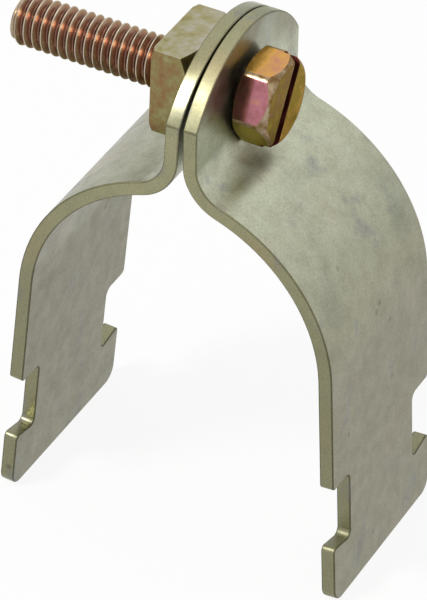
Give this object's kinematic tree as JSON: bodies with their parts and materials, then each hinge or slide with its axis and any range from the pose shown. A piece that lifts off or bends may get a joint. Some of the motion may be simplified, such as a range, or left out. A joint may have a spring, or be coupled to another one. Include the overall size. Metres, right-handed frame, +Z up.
{
  "type": "strut pipe clamp",
  "caption": "Two-piece strap clamp that hugs a pipe, hooks under the lips of slotted strut channel and is drawn together by a slotted hex-head screw and square nut.",
  "frame": {"origin": "midway between the two legs, at the middle of their width, level with the tips of the channel hooks", "axes": "+X along the screw towards its head, +Y along the pipe, +Z up from the channel to the ears"},
  "size_m": [0.0626, 0.0318, 0.084],
  "materials": {
    "strap_zinc": "pale yellow-green passivated zinc plate on folded steel sheet, satin",
    "screw_dichromate": "iridescent yellow-red passivated zinc plate, bright",
    "nut_zinc": "olive-gold passivated zinc plate, dull"
  },
  "bodies": {
    "head_half": {"head_side_strap": "strap_zinc"},
    "screw": {"hex_head_screw": "screw_dichromate"},
    "nut": {"square_nut": "nut_zinc"},
    "nut_half": {"nut_side_strap": "strap_zinc"}
  },
  "joints": [
    {"name": "screw_turn", "type": "hinge", "parent": "head_half", "child": "screw", "pos_m": [0, 0, 0.0629], "axis": [1, 0, 0], "range_deg": [0, 5760]},
    {"name": "nut_travel", "type": "slide", "parent": "head_half", "child": "nut", "axis": [-1, 0, 0], "range_m": [0, 0.02258]},
    {"name": "strap_swing", "type": "hinge", "parent": "nut", "child": "nut_half", "pos_m": [0, 0, 0.0629], "axis": [1, 0, 0], "range_deg": [-14, 14]}
  ],
  "couplings": [
    {"joint": "nut_travel", "follows": "screw_turn", "m_per_rad": 0.00022458}
  ]
}
